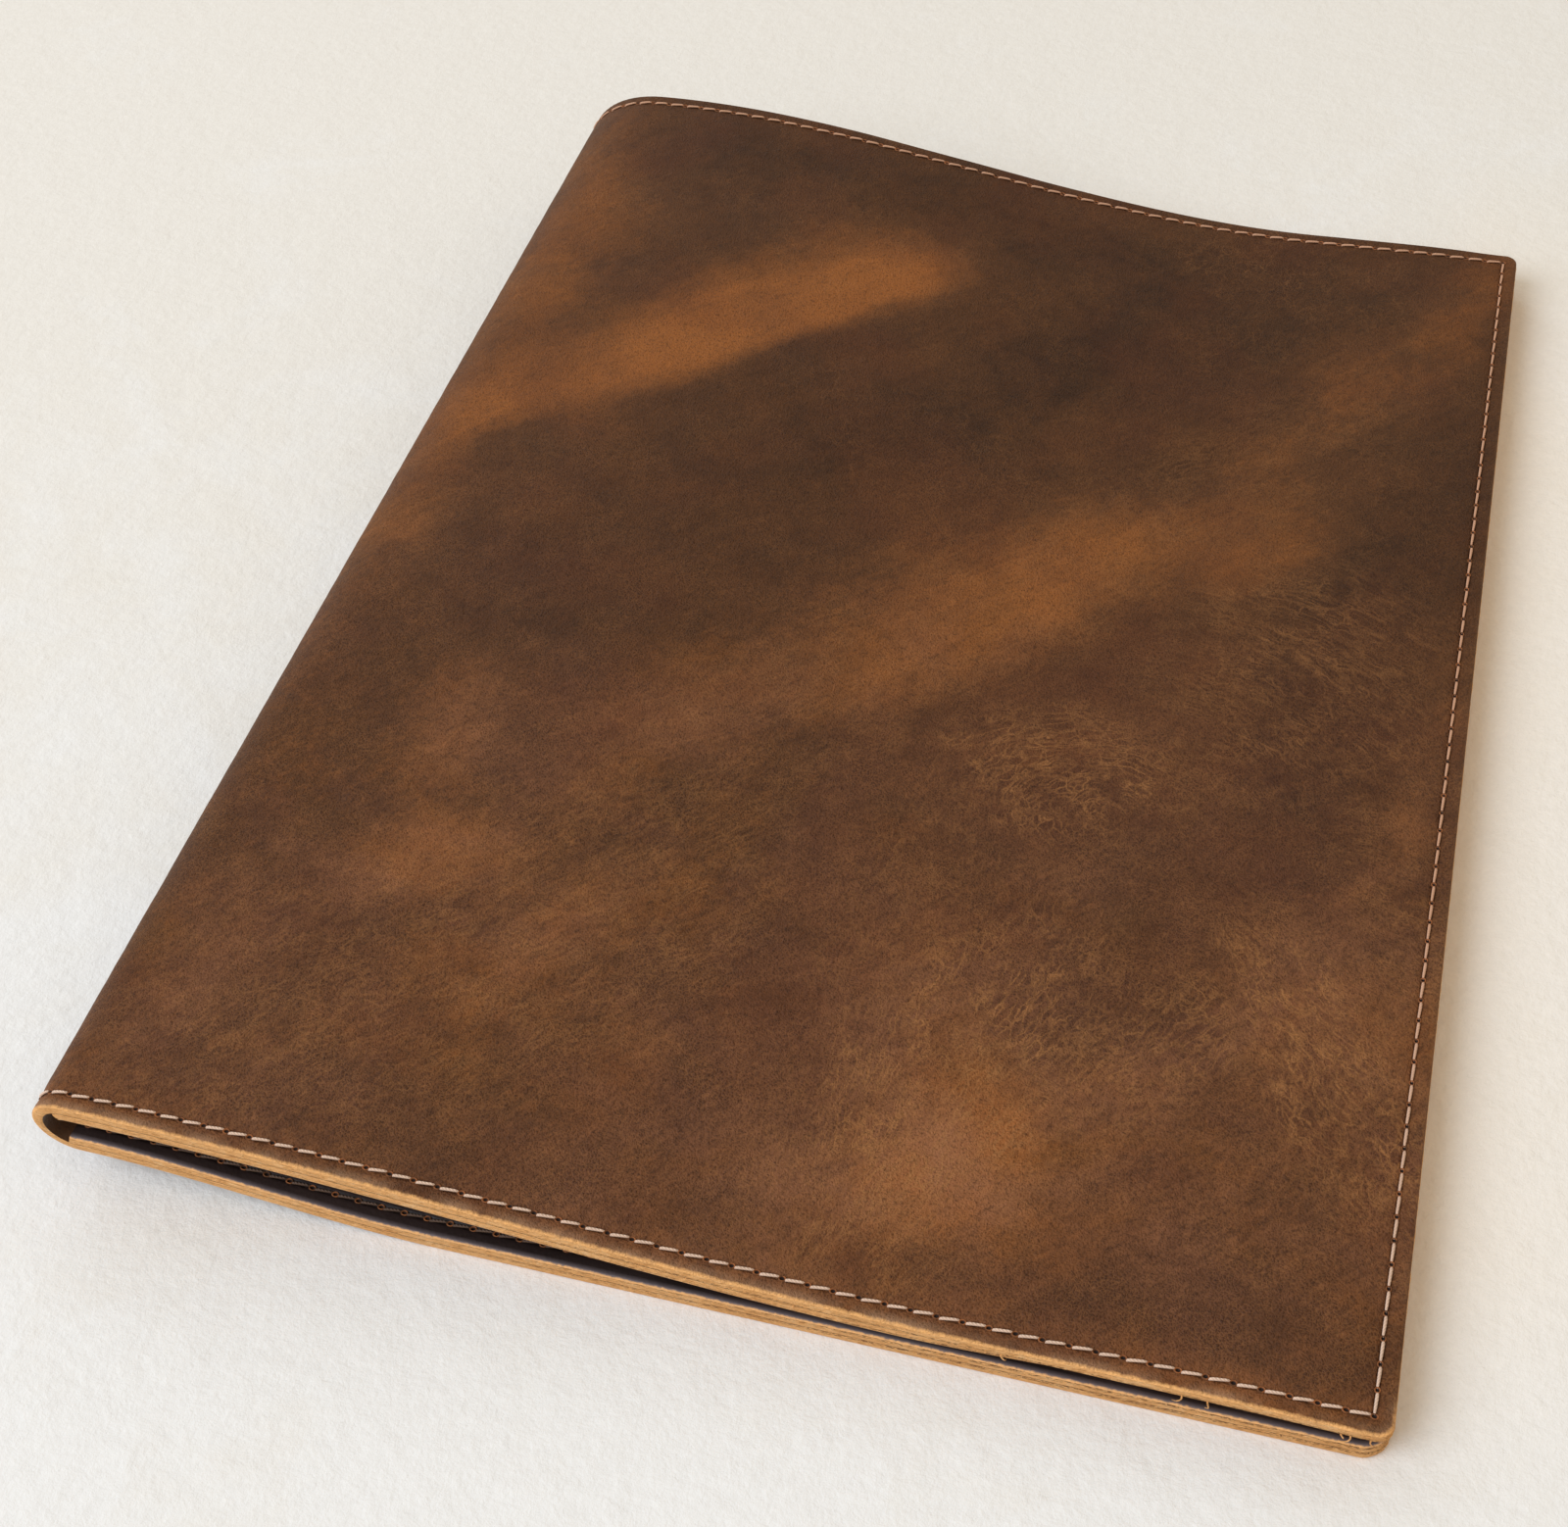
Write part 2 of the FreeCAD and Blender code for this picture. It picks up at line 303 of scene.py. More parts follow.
# Places where the hide is lined with fine creases: centre x and y, half length, half width,
# direction in degrees, strength, all as above
FAN_PLACES = [(36, -104, 44, 22, 70, 1.0), (64, -92, 40, 14, 45, 0.7), (20, -60, 40, 26, 70, 0.35)]
EDGE_PLACES = [(98, -88, 40, 13, -58, 1.0), (104, -50, 34, 9, -70, 0.5)]
RING_PLACES = [(40, -32, 26, 18, 0, 0.9), (80, 2, 36, 30, 90, 0.5)]
BRUSH_PLACES = [(-50, -100, 80, 34, 40, 0.45), (30, 20, 110, 24, 50, 0.25), (-10, -40, 70, 30, 45, 0.3)]


def crease_strength(x, y, places):
    """The largest of several soft ovals, exp(-(u^2 + v^2)^2)."""
    total = np.zeros_like(x)
    for *oval, strength in places:
        u, v = in_oval(x, y, oval)
        total = np.maximum(total, strength * np.exp(-((u * u + v * v) ** 2)))
    return total


def crease_fields(x, y):
    """Coordinates across and along the creases in mm, and how strong the creases are.

    Four families share the hide: two fans (angle round a point, and distance from it), a whorl
    (distance from a point, and angle round it) and straight brush lines. Each place follows its
    strongest family, and the creases fade out where two families are equally strong.
    """
    fan_x, fan_y = x - 18, y + 178
    edge_x, edge_y = x - 62, y + 40
    ring_x, ring_y = x - 50, y + 42
    turn = math.radians(46)
    families = [
        (np.arctan2(fan_y, fan_x) * 85, np.hypot(fan_x, fan_y), FAN_PLACES),
        (np.arctan2(edge_y, edge_x) * 50, np.hypot(edge_x, edge_y), EDGE_PLACES),
        (np.hypot(ring_x * 0.85, ring_y), np.arctan2(ring_y, ring_x) * 20, RING_PLACES),
        (y * math.cos(turn) - x * math.sin(turn), x * math.cos(turn) + y * math.sin(turn), BRUSH_PLACES),
    ]
    across, along = (np.stack([family[k] for family in families], -1) for k in (0, 1))
    strength = np.stack([crease_strength(x, y, family[2]) for family in families], -1)
    best = strength.argmax(-1)[..., None]
    top, second = np.sort(strength, -1)[..., -1], np.sort(strength, -1)[..., -2]
    across, along = (np.take_along_axis(values, best, -1)[..., 0] for values in (across, along))
    family_step, fade = 40.0, 0.15  # keeps the families' patterns apart, and how fast they fade out
    flow = np.stack([across, along, family_step * best[..., 0]], -1)
    return flow, top * np.clip((top - second) / fade, 0, 1)


# ---------------------------------------------------------------- the folded hide

BAND = 12.0  # stations up to this one are millimetres from the free edge
FLAT_END, CLIMB_END, FOLD_MIDDLE = BAND + 1, BAND + 2, BAND + 3


def hide_point(sizes, side, station, y, depth):
    """Where a point of the closed mat's hide is, in mm, as three arrays.

    Station runs from the free edge to the middle of the fold: millimetres up to BAND, then one unit
    each for the rest of the flat part, for the climb (3t^2 - 2t^3 in height) and for a quarter of the
    fold's ellipse. Depth is measured into the leather from its outside. The fold's sizes change in a
    straight line from the near end to the far end.
    """
    station, y, depth = np.broadcast_arrays(np.asarray(station, float), y, depth)
    share = y / (2 * sizes.half_length) + 0.5

    def between(near, far):
        return near + (far - near) * share

    fold_depth = between(sizes.near_fold_depth, sizes.far_fold_depth)
    bottom = between(sizes.near_fold_bottom, sizes.far_fold_bottom)
    top = between(sizes.near_fold_top, sizes.far_fold_top)
    fold_x = fold_depth - sizes.half_width
    front_top = 4 * sizes.ply + 2 * sizes.glue + sizes.cover_gap
    if side == "back":
        start_x, start_z, end_z, up = fold_x + sizes.curl, depth, bottom + depth, -1
    else:
        start_x = fold_x + between(sizes.near_rise, sizes.far_rise)
        start_z, end_z, up = front_top - depth, top - depth, 1
    flat = sizes.half_width - start_x
    rest = np.clip(station - BAND, 0, 1)
    climb = np.clip(station - FLAT_END, 0, 1)
    turn = np.clip(station - CLIMB_END, 0, 1) * math.pi / 2
    x = sizes.half_width - np.minimum(station, BAND) - rest * (flat - BAND)
    x = x + climb * (fold_x - start_x) - (fold_depth - depth) * np.sin(turn)
    z = start_z + (end_z - start_z) * smoothstep(climb)
    z = z - up * ((top - bottom) / 2 - depth) * (1 - np.cos(turn))
    if side == "front":
        from_free = sizes.half_width - x
        sag = sizes.droop * np.exp(-((from_free / 14) ** 2))
        wave = 0.35 * cloudy(x, y, 55, 31) * smoothstep(from_free / 30) * (1 - turn)
        z = z - sag + wave
    return x, y, z


def hide_places(*where):
    """The points that hide_point gives, as one array with x, y, z last."""
    return np.stack(hide_point(*where), -1)


def corner_rounded(from_side, from_end, radius):
    """Bends a square corner of a grid into an arc.

    Each square ring at one smallest distance from the edges becomes an arc of the radius less that
    distance, about the point that is one radius in from both edges.
    """
    inside = (from_side < radius) & (from_end < radius)
    level = np.minimum(from_side, from_end)
    arc = np.maximum(radius - level, 1e-6)
    quarter = np.where(from_side <= from_end, radius - from_end, radius + from_side - 2 * level)
    quarter = np.where(from_side <= from_end, quarter / arc, 2 - (radius - from_side) / arc)
    angle = quarter * math.pi / 4
    new_side = np.where(inside, radius - arc * np.cos(angle), from_side)
    new_end = np.where(inside, radius - arc * np.sin(angle), from_end)
    return new_side, new_end


def new_mesh(name, points, quads, material_index=None, attributes=None, poles=False):
    """A mesh object from points in mm and an array of quads.

    With poles, points that lie in one place are merged, which closes the ends of tubes and ovals.
    """
    mesh = bpy.data.meshes.new(name)
    mesh.vertices.add(len(points))
    mesh.vertices.foreach_set("co", (points * MM).astype(np.float32).ravel())
    mesh.loops.add(quads.size)
    mesh.loops.foreach_set("vertex_index", quads.ravel().astype(np.int32))
    mesh.polygons.add(len(quads))
    mesh.polygons.foreach_set("loop_start", np.arange(0, quads.size, 4, dtype=np.int32))
    mesh.polygons.foreach_set("use_smooth", np.ones(len(quads), bool))
    if material_index is not None:
        mesh.polygons.foreach_set("material_index", material_index.astype(np.int32))
    mesh.update(calc_edges=True)
    mesh.set_sharp_from_angle(angle=SHARP_EDGE)
    place = mesh.attributes.new("place", "FLOAT_VECTOR", "POINT")
    place.data.foreach_set("vector", points.astype(np.float32).ravel())
    for key, values in (attributes or {}).items():
        kind, field = ("FLOAT", "value") if values.ndim == 1 else ("FLOAT_VECTOR", "vector")
        layer = mesh.attributes.new(key, kind, "POINT")
        layer.data.foreach_set(field, values.astype(np.float32).ravel())
    if poles:
        shape = bmesh.new()
        shape.from_mesh(mesh)
        bmesh.ops.remove_doubles(shape, verts=shape.verts, dist=1e-7)
        shape.to_mesh(mesh)
        shape.free()
    mesh.validate()
    piece = bpy.data.objects.new(name, mesh)
    bpy.context.scene.collection.objects.link(piece)
    return piece


def edge_lines(end, step):
    """Distances from a cut edge: close together over its round and the seam, then wider to the end."""
    fine = [0, 0.06, 0.15, 0.28, 0.45, 0.7, 1.1, 1.6, 2.1, 2.45, 2.65, 2.8, 2.92, 3.0, 3.08, 3.2, 3.35]
    fine += [3.55, 3.9, 4.5, 5.4, 6.6, 8.2, 10]
    return np.array([d for d in fine if d < end - step / 2] + list(np.arange(end, end + step / 2, step)))


def hide_stations(share_of_fold):
    """Stations from the free edge to where a piece of hide ends."""
    parts = [edge_lines(BAND, 1.0), BAND + np.linspace(0, 1, 28)[1:]]
    parts.append(FLAT_END + np.linspace(0, 1, 80)[1:])
    parts.append(CLIMB_END + share_of_fold * np.sin(np.linspace(0, math.pi / 2, 26))[1:])
    return np.concatenate(parts)


def grid_quads(index):
    """Quads of an array of vertex numbers, turned so that they face down when it runs (-x, y)."""
    return np.stack([index[:-1, :-1], index[1:, :-1], index[1:, 1:], index[:-1, 1:]], -1).reshape(-1, 4)


def rim_of(index):
    """The vertex numbers once round the outside of a grid."""
    return np.concatenate([index[:, 0], index[-1, 1:], index[-2::-1, -1], index[0, -2:0:-1]])


def hide_piece(name, sizes, side, outer, share_of_fold, set_back=None):
    """One thickness of hide as a closed skin: an outer grid, an inner grid and a raw wall between them.

    The grids follow hide_point. Close to a cut edge the outer skin drops away as a quarter round,
    and at the seam margin it sinks into a channel, -a exp(-(m / w)^2). The wall's rows are pushed in
    and out by noise, as cut fibres are.
    """
    half = sizes.half_length
    ends = edge_lines(BAND, 1.0)
    middle = np.linspace(BAND, 2 * half - BAND, ENDS_COLUMNS)[1:-1]
    from_near = np.concatenate([ends, middle, 2 * half - ends[::-1]])
    stations = hide_stations(share_of_fold)
    station, near = np.meshgrid(stations, from_near, indexing="ij")
    from_end = np.minimum(near, 2 * half - near)
    from_free = np.where(station < BAND, station, BAND)
    level = np.minimum(from_free, from_end)
    radius = sizes.corner_radius if side == "front" else sizes.back_corner_radius
    side_new, end_new = corner_rounded(from_free, from_end, radius)
    station_new = np.where(station < BAND, side_new, station)

    def skin(depth, push=0.0):
        """The grid at one depth, pushed outwards by push mm at the cut edges."""
        inset = end_new - push
        if set_back is not None:
            inset = inset + set_back(station) * np.exp(-((end_new / 4) ** 4)) * (near < half)
        y = np.where(near < half, inset - half, half - inset)
        moved = np.where(station < BAND, station_new - push * (station < BAND / 2), station_new)
        return hide_places(sizes, side, moved, y, depth), inset

    round_off = sizes.edge_round
    rounded = round_off - np.sqrt(np.maximum(round_off**2 - np.maximum(round_off - level, 0) ** 2, 0))
    _, true_end = skin(outer)
    from_seam = np.minimum(from_free, true_end) - sizes.seam_margin
    channel = 0.3 * np.exp(-((from_seam / 0.34) ** 4)) + 0.16 * np.exp(-((from_seam / 1.1) ** 2))
    outside = outer < sizes.ply
    lift = 1.0 if outside and side == "back" else 0.0  # keeps the underside's pebbles off the desk
    pebble = 0.05 * (cloudy(station_new * 3, near, 3.4, 41) + lift)
    grain_depth, flesh_depth = outer, outer + sizes.ply
    if not outside:
        grain_depth, flesh_depth = flesh_depth, grain_depth
    inwards = 1 if outside else -1
    grain, _ = skin(grain_depth + inwards * (rounded + channel + pebble))
    flesh, _ = skin(np.full_like(level, flesh_depth))
    rows, columns = level.shape
    index = np.arange(rows * columns).reshape(rows, columns)
    rim = rim_of(index)
    walls, wall_levels = [], np.linspace(0, 1, WALL_ROWS + 2)[1:-1]
    first_depth = grain_depth + inwards * (rounded + channel)
    at_fold = station == stations[-1]
    for row, share in enumerate(wall_levels):
        depth = first_depth + (flesh_depth - first_depth) * share
        rough = cloudy(station * 2.0 + near, near + share * 3, 1.9, 50 + row) * 0.16
        waist = 0.10 * math.sin(math.pi * share)
        push = np.where(at_fold, 0.0, rough + waist)
        walls.append(skin(depth, push)[0].reshape(-1, 3)[rim])
    points = np.concatenate([grain.reshape(-1, 3), flesh.reshape(-1, 3)] + walls)
    top = grid_quads(index)
    under = grid_quads(index + rows * columns)[:, ::-1]
    rings = [rim] + [2 * rows * columns + k * len(rim) + np.arange(len(rim)) for k in range(len(walls))]
    rings.append(rim + rows * columns)
    strips = [
        np.stack([above, below, np.roll(below, -1), np.roll(above, -1)], -1)
        for above, below in zip(rings[:-1], rings[1:])
    ]
    quads = np.concatenate([top, under] + strips)
    # Where two hides meet in the middle of the fold the wall is no cut edge, so it keeps the grain
    joined = at_fold.ravel()[rim] & (share_of_fold >= 1)
    wall_kinds = np.where(joined & np.roll(joined, -1), 0, 1)
    kinds = np.concatenate([np.zeros(len(top)), np.full(len(under), 2)] + [wall_kinds] * len(strips))
    flat_level = np.concatenate([level.ravel(), level.ravel()] + [np.where(joined, BAND, 0.0)] * len(walls))
    attributes = {"edge_distance": flat_level, "tone": tone_map(*points.T)}
    if outside and side == "front":
        attributes["flow"], attributes["flow_mask"] = crease_fields(points[:, 0], points[:, 1])
    wall_share = np.repeat(wall_levels, len(rim))
    joint = np.concatenate([np.zeros(level.size), np.ones(level.size), wall_share])
    attributes["joint"] = joint if outside else 1 - joint
    if (side == "back") != outside:
        quads = quads[:, ::-1]
    return new_mesh(name, points, quads, kinds, attributes)


# ---------------------------------------------------------------- stitching


def seam_rows(sizes, side, last_station, depth):
    """The seam's three rows: how many stitches, which kind, and functions that give the station and
    the distance from the near end at a hole number. Between whole numbers lies a stitch.
    """
    margin, full = sizes.seam_margin, 2 * sizes.half_length

    def end_row(near):
        """The row along one end, whose run is measured on the curved hide, so the pitch stays even."""
        fine = np.concatenate([np.linspace(margin, BAND, 60), np.linspace(BAND, last_station, 900)[1:]])
        x, _, z = hide_point(sizes, side, fine, near - sizes.half_length, depth)
        run = np.concatenate([[0], np.cumsum(np.hypot(np.diff(x), np.diff(z)))])

        def station_at(number):
            return np.interp(number * sizes.pitch, run, fine)

        def near_at(number):
            return near + 0 * number

        return int(run[-1] / sizes.pitch), "end", station_at, near_at

    count = int(round((full - 2 * margin) / sizes.side_pitch))

    def side_station(number):
        return margin + 0 * number

    def side_near(number):
        return margin + (full - 2 * margin) * number / count

    return [end_row(margin), end_row(full - margin), (count, "side", side_station, side_near)]


def ring_quads(shapes, rings, around):
    """Quads of many shapes made of rings of points, in that order, each ring closed on itself."""
    index = np.arange(shapes * rings * around).reshape(shapes, rings, around)
    wrapped = np.concatenate([index, index[:, :, :1]], 2)
    this, after = wrapped[:, :-1], wrapped[:, 1:]
    quads = np.stack([this[..., :-1], after[..., :-1], after[..., 1:], this[..., 1:]], -1)
    return quads.reshape(-1, 4)


def full_turn(around):
    """Angles evenly round a circle."""
    return np.linspace(0, 2 * math.pi, around, endpoint=False)


def stitch_piece(name, sizes, side, last_station, depth, outwards):
    """Every visible stitch of one face: a short round thread that dips into a hole at both ends.

    Along a stitch, with s from 0 to 1, the thread's height is a flat-topped arch, 1 - |2s - 1|^6. It is
    slanted a little across the seam, blunt where it comes up and thinner where it goes down.
    """
    steps, around = 10, 7
    share = np.linspace(0, 1, steps)
    arch = np.clip(1 - np.abs(2 * share - 1) ** 6, 0, 1)
    tubes = []
    rng = np.random.default_rng(RNG_SEED)
    for count, kind, station_at, near_at in seam_rows(sizes, side, last_station, depth):
        s = 0.09 + 0.81 * share if kind == "end" else 0.065 + 0.87 * share
        jitter = rng.uniform(-1, 1, (3, count, 1))
        slant = (0.5 - s)[None, :] * (0.52 + 0.12 * jitter[0]) + 0.05 * jitter[1]
        number = np.arange(count)[:, None] + s
        station, ends = station_at(number), near_at(number)
        if kind == "end":
            ends = ends + slant
        else:
            station = station + slant * 0.35
        # Under the closed mat the thread stays sunk in its channel, so that the mat lies flat
        height, sunk = (0.02, 0.29) if side == "back" and outwards > 0 else (0.30, 0.26)
        lift = (arch * height - sunk)[None, :] + 0.03 * np.minimum(jitter[2], 0)
        centre_depth = depth - outwards * lift
        y = ends - sizes.half_length
        centre = hide_places(sizes, side, station, y, centre_depth)
        above = hide_places(sizes, side, station, y, centre_depth - outwards * 0.5)
        normal = above - centre
        normal /= np.linalg.norm(normal, axis=-1, keepdims=True)
        along = np.gradient(centre, axis=1)
        along /= np.linalg.norm(along, axis=-1, keepdims=True)
        across = np.cross(along, normal)
        angle = full_turn(around)
        thin = sizes.thread / 2 * ((0.60 + 0.40 * arch**0.5) * (0.80 + 0.32 * s))[None, :, None, None]
        ring = across[:, :, None] * np.cos(angle)[:, None] * 1.1 + normal[:, :, None] * np.sin(angle)[:, None]
        tubes.append((centre[:, :, None] + ring * thin).reshape(-1, steps, around, 3))
    return tube_piece(name, np.concatenate(tubes))


def tube_piece(name, tubes):
    """Closed tubes from an array (tube, step, around, 3); each end is drawn in to one point."""
    count, steps, around = tubes.shape[:3]
    middle = tubes.mean(axis=2, keepdims=True)
    closed = np.concatenate([tubes[:, :1] * 0 + middle[:, :1], tubes, tubes[:, :1] * 0 + middle[:, -1:]], 1)
    steps += 2
    size = (count, steps, around)
    attributes = {
        "along": np.broadcast_to(np.arange(steps)[None, :, None] / (steps - 1), size).ravel(),
        "around": np.broadcast_to(np.arange(around)[None, None, :] / around, size).ravel(),
    }
    return new_mesh(name, closed.reshape(-1, 3), ring_quads(*size), None, attributes, poles=True)


def hole_piece(name, sizes, side, last_station, depth, outwards):
    """The punched slots between stitches: pits that the material paints dark as shade, with a raised tan lip,
    as rings of an oval.

    Each ring is an ellipse. The last ring is a point below the pit, so that the shape is closed.
    """
    radii = np.array([0.0, 0.16, 0.27, 0.35, 0.43, 0.58, 0.0])
    lip = 0.02 if side == "back" and outwards > 0 else -0.035  # raised, but not under the closed mat
    depths = np.array([0.40, 0.39, 0.28, 0.03, lip, 0.16, 0.55])
    around = 10
    angle = full_turn(around)
    discs = []
    for count, kind, station_at, near_at in seam_rows(sizes, side, last_station, depth):
        # The side row leaves out its first and last hole, which are the end rows' own
        number = np.arange(1, count) if kind == "side" else np.arange(count + 1)
        holes, near = station_at(number), near_at(number)
        shape = np.broadcast_to(holes[:, None, None], (len(holes), len(radii), around))
        lengthwise, across = (1.3, 1.0) if kind == "end" else (0.95, 1.1)
        step = 1e-3
        row_y = near - sizes.half_length
        x0, _, z0 = hide_point(sizes, side, holes - step, row_y, depth)
        x1, _, z1 = hide_point(sizes, side, holes + step, row_y, depth)
        per_mm = 2 * step / np.maximum(np.hypot(x1 - x0, z1 - z0), 1e-9)
        du = radii[:, None] * np.cos(angle) * lengthwise
        dv = radii[:, None] * np.sin(angle) * across
        station = shape + du * per_mm[:, None, None]
        y = near[:, None, None] + dv - sizes.half_length
        deep = depth + outwards * np.broadcast_to(depths[:, None], du.shape)
        discs.append(hide_places(sizes, side, station, y, deep))
    discs = np.concatenate(discs)
    quads = ring_quads(*discs.shape[:3])
    if (side == "back") != (outwards > 0):
        quads = quads[:, ::-1]
    from_centre = np.broadcast_to(radii[None, :, None], discs.shape[:3]).ravel()
    return new_mesh(name, discs.reshape(-1, 3), quads, None, {"from_centre": from_centre}, poles=True)


# Loose fibres left by cutting: place along the near edge (x), hang in mm, lean in mm
FIBRES = [
    (110.6, 1.5, 0.9),
    (107.4, 2.5, -1.3),
    (106.2, 1.0, 0.6),
    (86.6, 2.3, -0.4),
    (82.4, 2.2, -1.1),
    (55.0, 1.2, 0.7),
    (21.5, 1.3, -0.6),
    (4.0, 1.0, 0.5),
]


def fibre_piece(name, sizes):
    """Thin hairs of torn hide hanging from the front cover's near edge, each a bent, tapering tube."""
    steps, around = 8, 5
    x, hang, lean = (np.array(column)[:, None] for column in zip(*FIBRES))
    t = np.linspace(0, 1, steps)[None, :]
    near = -sizes.half_length
    every = np.linspace(0, CLIMB_END, 3000)
    every_x = hide_point(sizes, "front", every, near, 0.0)[0]
    station = np.interp(-x, -every_x, every)
    _, _, z = hide_point(sizes, "front", station, near, sizes.ply * 0.9)
    centre = np.stack(
        [
            x + lean * t * t + 0.2 * np.sin(5 * t + x),
            -sizes.half_length - 0.15 - 0.35 * np.sin(math.pi * t) + 0 * x,
            z - hang * t * (1 - 0.15 * t),
        ],
        -1,
    )
    angle = full_turn(around)
    ring = np.stack([np.cos(angle), np.sin(angle), 0.25 * np.cos(2 * angle)], -1)
    thick = (0.15 * (1 - 0.6 * t))[..., None, None]
    return tube_piece(name, centre[:, :, None] + ring * thick)


# ---------------------------------------------------------------- materials


class Nodes:
    """A short way to write a node tree: make a node, set its sockets by name, link what is a socket."""

    def __init__(self, name):
        self.material = bpy.data.materials.new(name)
        self.material.use_nodes = True
        self.tree = self.material.node_tree
        self.tree.nodes.clear()

    def add(self, kind, settings=None, **sockets):
        node = self.tree.nodes.new(kind)
        for key, value in (settings or {}).items():
            setattr(node, key, value)
        for key, value in sockets.items():
            self.put(node, key.replace("_", " "), value)
        return node

    def put(self, node, key, value):
        socket = node.inputs[int(key)] if key.isdigit() else node.inputs[key]
        if isinstance(value, bpy.types.NodeSocket):
            self.tree.links.new(value, socket)
        else:
            socket.default_value = value

    def attribute(self, name, output="Fac"):
        return self.add("ShaderNodeAttribute", {"attribute_name": name}).outputs[output]

    def place(self, stretch=(1, 1, 1), turn=0.0):
        """The surface's own place at rest, in mm, turned back about z and then stretched."""
        where = self.attribute("place", "Vector")
        if turn:
            where = self.add("ShaderNodeMapping", Vector=where, Rotation=(0, 0, -turn)).outputs[0]
        return self.add("ShaderNodeMapping", Vector=where, Scale=stretch).outputs[0]

    def vector(self, operation, a, b):
        node = self.add("ShaderNodeVectorMath", {"operation": operation})
        self.put(node, "0", a)
        self.put(node, "1", b)
        return node.outputs["Vector"]

    def shaken(self, vector, place, scale, detail, reach):
        """A vector with coloured noise added, times its reach along each axis."""
        noise = self.add("ShaderNodeTexNoise", Vector=place, Scale=scale, Detail=detail).outputs["Color"]
        return self.vector("ADD", vector, self.vector("MULTIPLY", noise, reach))

    def along(self, vector, axis):
        """One coordinate of a vector."""
        return self.add("ShaderNodeSeparateXYZ", Vector=vector).outputs[axis]

    def noise(self, vector, scale, detail=2.0, rough=0.5, warp=0.0):
        return self.add(
            "ShaderNodeTexNoise", Vector=vector, Scale=scale, Detail=detail, Roughness=rough, Distortion=warp
        ).outputs["Fac"]

    def voronoi(self, vector, scale, feature="DISTANCE_TO_EDGE"):
        node = self.add("ShaderNodeTexVoronoi", {"feature": feature}, Vector=vector, Scale=scale)
        return node.outputs["Distance"]

    def ramp(self, value, stops):
        """A colour ramp with (place, colour) stops."""
        node = self.add("ShaderNodeValToRGB", Fac=value)
        elements = node.color_ramp.elements
        while len(elements) < len(stops):
            elements.new(0.5)
        for element, (spot, shade) in zip(elements, stops):
            element.position = spot
            element.color = (*shade, 1)
        return node.outputs["Color"]

    def span(self, value, low, high, to_low=0.0, to_high=1.0):
        """A straight change from one range to another, held at its ends."""
        node = self.add("ShaderNodeMapRange", {"clamp": True})
        for number, number_value in enumerate((value, low, high, to_low, to_high)):
            self.put(node, str(number), number_value)
        return node.outputs[0]

    def maths(self, operation, *values):
        node = self.add("ShaderNodeMath", {"operation": operation})
        for number, value in enumerate(values):
            self.put(node, str(number), value)
        return node.outputs[0]

    def times(self, a, b):
        return self.maths("MULTIPLY", a, b)

    def plus(self, a, b):
        return self.maths("ADD", a, b)

    def larger(self, a, b):
        return self.maths("MAXIMUM", a, b)

    def mix(self, fac, a, b):
        node = self.add("ShaderNodeMix", {"data_type": "RGBA"})
        for number, value in ((0, fac), (6, a), (7, b)):
            if not isinstance(value, bpy.types.NodeSocket) and number != 0:
                value = (*value, 1)
            self.put(node, str(number), value)
        return node.outputs[2]

    def bump(self, height, strength, distance_mm, under=None):
        node = self.add("ShaderNodeBump", Height=height, Strength=strength, Distance=distance_mm * MM)
        if under is not None:
            self.put(node, "Normal", under)
        return node.outputs[0]

    def surface(self, colour_, roughness, normal, **extra):
        shader = self.add("ShaderNodeBsdfPrincipled")
        shader.inputs["Base Color"].default_value = (0.5, 0.5, 0.5, 1)
        self.put(shader, "Base Color", colour_)
        self.put(shader, "Roughness", roughness)
        self.put(shader, "Normal", normal)
        for key, value in extra.items():
            self.put(shader, key.replace("_", " "), value)
        out = self.add("ShaderNodeOutputMaterial")
        self.tree.links.new(shader.outputs[0], out.inputs[0])
        return self.material


def tinted(shade, *factors):
    """A colour with its channels multiplied, by three factors or by one."""
    factors = factors if len(factors) == 3 else factors * 3
    return tuple(min(c * f, 1) for c, f in zip(shade, factors))


